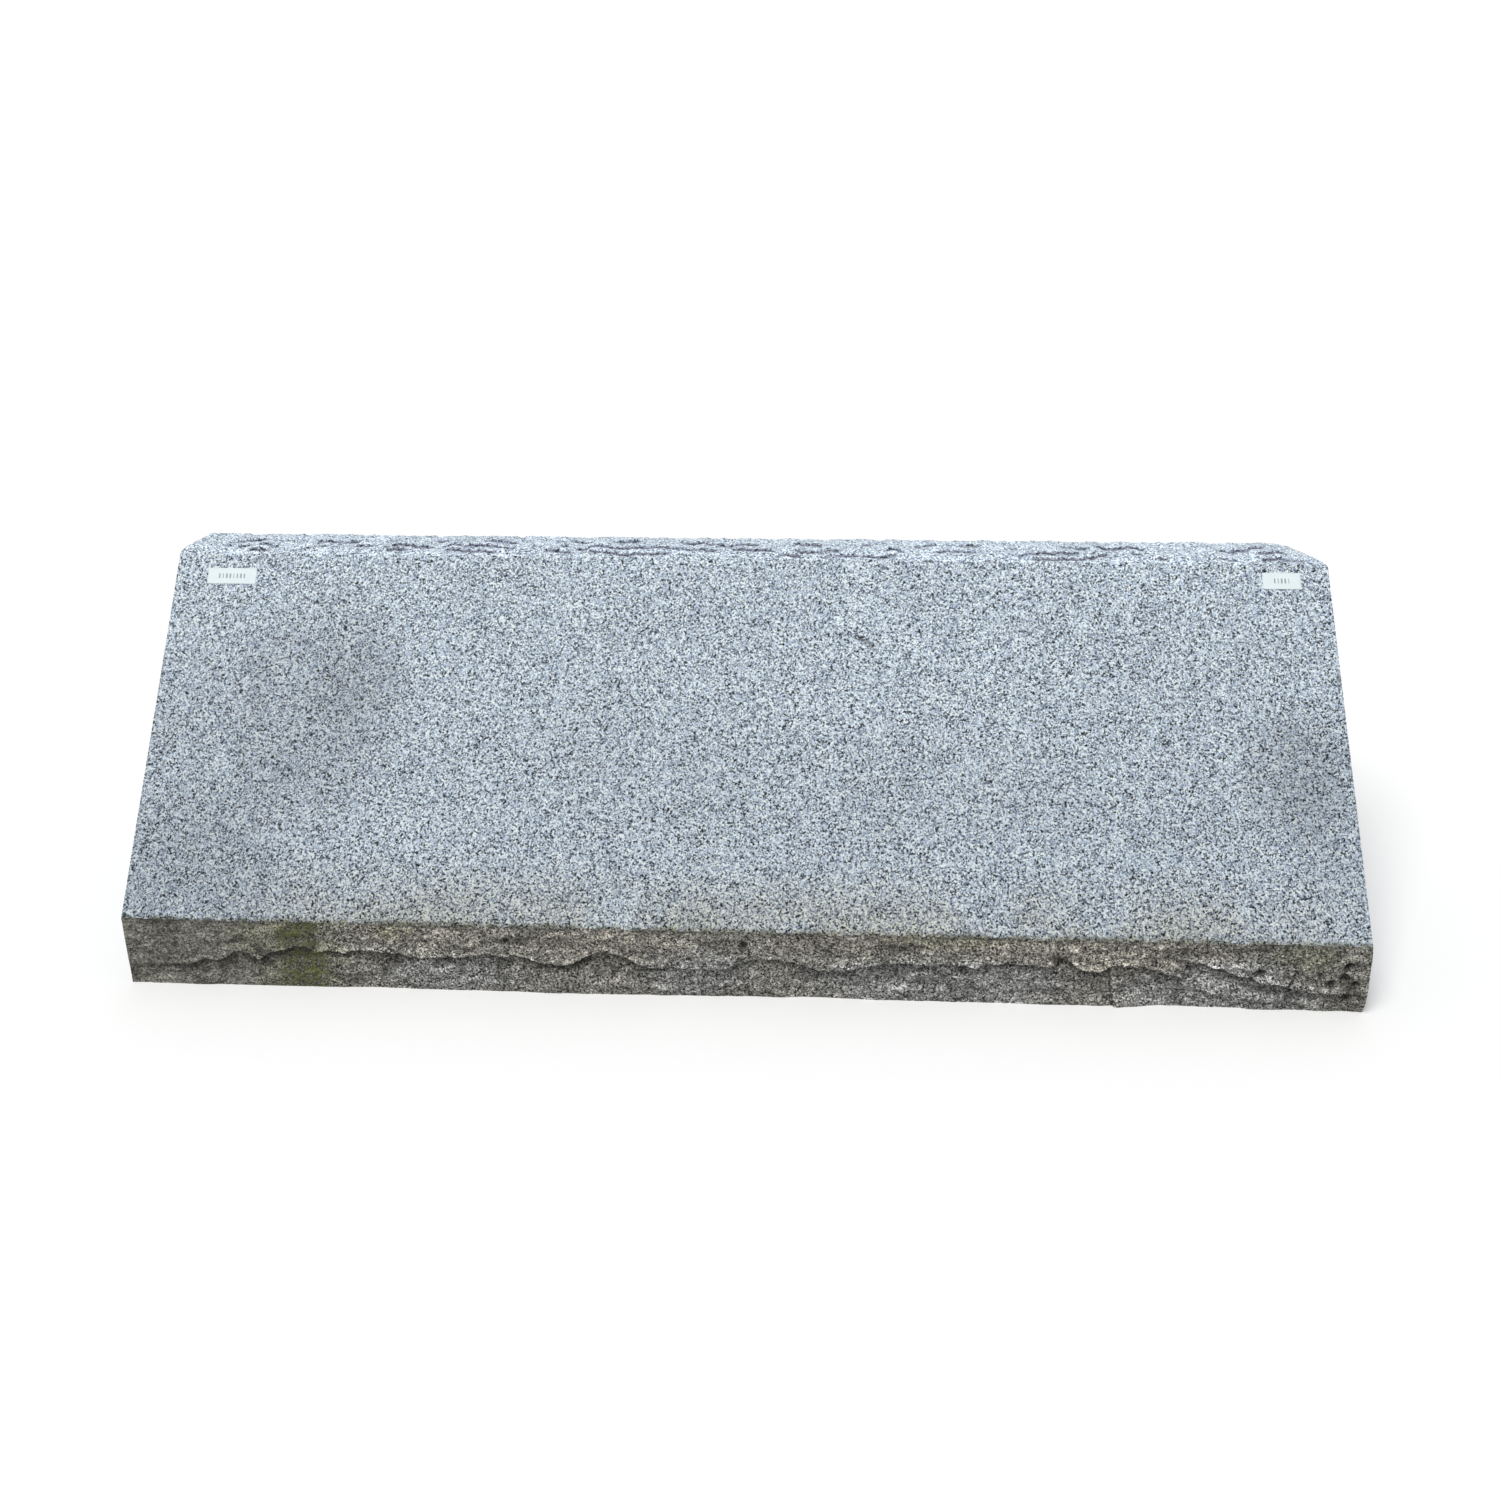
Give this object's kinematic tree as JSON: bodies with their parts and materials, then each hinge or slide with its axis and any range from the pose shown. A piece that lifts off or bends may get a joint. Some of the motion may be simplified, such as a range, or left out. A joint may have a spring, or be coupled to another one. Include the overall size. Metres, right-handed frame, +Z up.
{
  "type": "granite slant monument blank",
  "caption": "Slant-faced granite block with a flat fine-finished face, rock-pitched nose and top, sawn back, ends and base, and paper labels at the face's top corners.",
  "frame": {"origin": "middle of the stone's outer box, on the plane it rests on", "axes": "+Z up, +X along the stone from its left end to its right end seen from the front, +Y from the nose in front to the sawn back"},
  "size_m": [1.2192, 0.2794, 0.381],
  "materials": {
    "granite": "matte",
    "label_paper": "matte"
  },
  "bodies": {
    "root": {"granite_slab": "granite", "size_label": "label_paper", "stock_label": "label_paper"}
  },
  "joints": []
}
